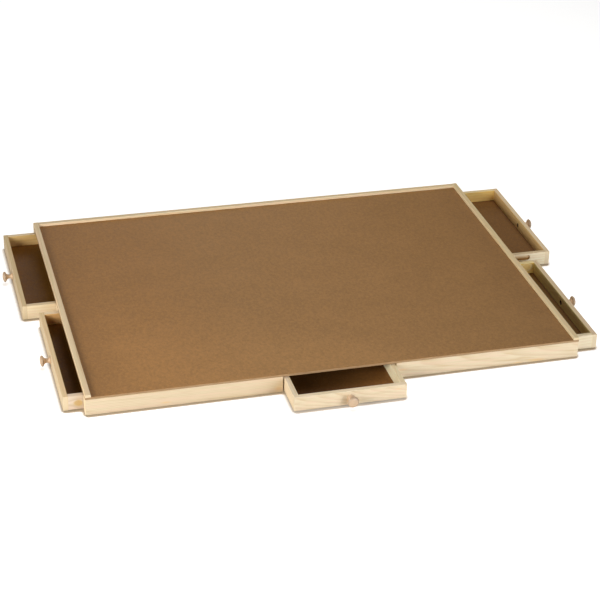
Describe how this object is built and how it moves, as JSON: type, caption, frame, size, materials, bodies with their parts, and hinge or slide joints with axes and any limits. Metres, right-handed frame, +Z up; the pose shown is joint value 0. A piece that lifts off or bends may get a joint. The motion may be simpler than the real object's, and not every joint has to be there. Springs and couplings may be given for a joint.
{
  "type": "jigsaw puzzle board with drawers",
  "caption": "Low puzzle board with a thin brown hardboard work surface, raised pine edging on the sides and back, and shallow drawers with round knobs that slide out on wooden runners.",
  "frame": {"origin": "middle of the board's footprint, on the surface that the frame rests on", "axes": "+X to the right along the longer side, +Y from the front edge with no border strip to the back, +Z up"},
  "size_m": [1.074, 0.746, 0.04],
  "materials": {
    "pine": "bare planed pine, matt",
    "hardboard": "smooth brown hardboard, dull satin",
    "birch": "turned birch, sanded, pinkish tan",
    "screw_steel": "blackened steel"
  },
  "bodies": {
    "board": {"work_panel": "hardboard", "front_rail_left": "pine", "front_rail_right": "pine", "back_rail": "pine", "beam_left": "pine", "beam_right": "pine", "divider_left": "pine", "divider_right": "pine", "centre_rail": "pine", "border_strip_left": "pine", "border_strip_right": "pine", "border_strip_back": "pine", "front_drawer_left_runner": "pine", "front_drawer_right_runner": "pine", "left_front_drawer_left_runner": "pine", "left_front_drawer_right_runner": "pine", "left_back_drawer_left_runner": "pine", "left_back_drawer_right_runner": "pine", "right_front_drawer_left_runner": "pine", "right_front_drawer_right_runner": "pine", "right_back_drawer_left_runner": "pine", "right_back_drawer_right_runner": "pine"},
    "front_drawer": {"front_drawer_face": "pine", "front_drawer_left_side": "pine", "front_drawer_right_side": "pine", "front_drawer_back": "pine", "front_drawer_bottom": "hardboard", "front_drawer_knob": "birch", "front_drawer_knob_screw": "screw_steel"},
    "left_front_drawer": {"left_front_drawer_face": "pine", "left_front_drawer_left_side": "pine", "left_front_drawer_right_side": "pine", "left_front_drawer_back": "pine", "left_front_drawer_bottom": "hardboard", "left_front_drawer_knob": "birch", "left_front_drawer_knob_screw": "screw_steel"},
    "left_back_drawer": {"left_back_drawer_face": "pine", "left_back_drawer_left_side": "pine", "left_back_drawer_right_side": "pine", "left_back_drawer_back": "pine", "left_back_drawer_bottom": "hardboard", "left_back_drawer_knob": "birch", "left_back_drawer_knob_screw": "screw_steel"},
    "right_front_drawer": {"right_front_drawer_face": "pine", "right_front_drawer_left_side": "pine", "right_front_drawer_right_side": "pine", "right_front_drawer_back": "pine", "right_front_drawer_bottom": "hardboard", "right_front_drawer_knob": "birch", "right_front_drawer_knob_screw": "screw_steel"},
    "right_back_drawer": {"right_back_drawer_face": "pine", "right_back_drawer_left_side": "pine", "right_back_drawer_right_side": "pine", "right_back_drawer_back": "pine", "right_back_drawer_bottom": "hardboard", "right_back_drawer_knob": "birch", "right_back_drawer_knob_screw": "screw_steel"}
  },
  "joints": [
    {"name": "front_drawer_slide", "type": "slide", "parent": "board", "child": "front_drawer", "axis": [0, -1, 0], "range_m": [-0.067, 0.133]},
    {"name": "left_front_drawer_slide", "type": "slide", "parent": "board", "child": "left_front_drawer", "axis": [-1, 0, 0], "range_m": [-0.035, 0.165]},
    {"name": "left_back_drawer_slide", "type": "slide", "parent": "board", "child": "left_back_drawer", "axis": [-1, 0, 0], "range_m": [-0.062, 0.138]},
    {"name": "right_front_drawer_slide", "type": "slide", "parent": "board", "child": "right_front_drawer", "axis": [1, 0, 0], "range_m": [-0.045, 0.155]},
    {"name": "right_back_drawer_slide", "type": "slide", "parent": "board", "child": "right_back_drawer", "axis": [1, 0, 0], "range_m": [-0.084, 0.116]}
  ]
}
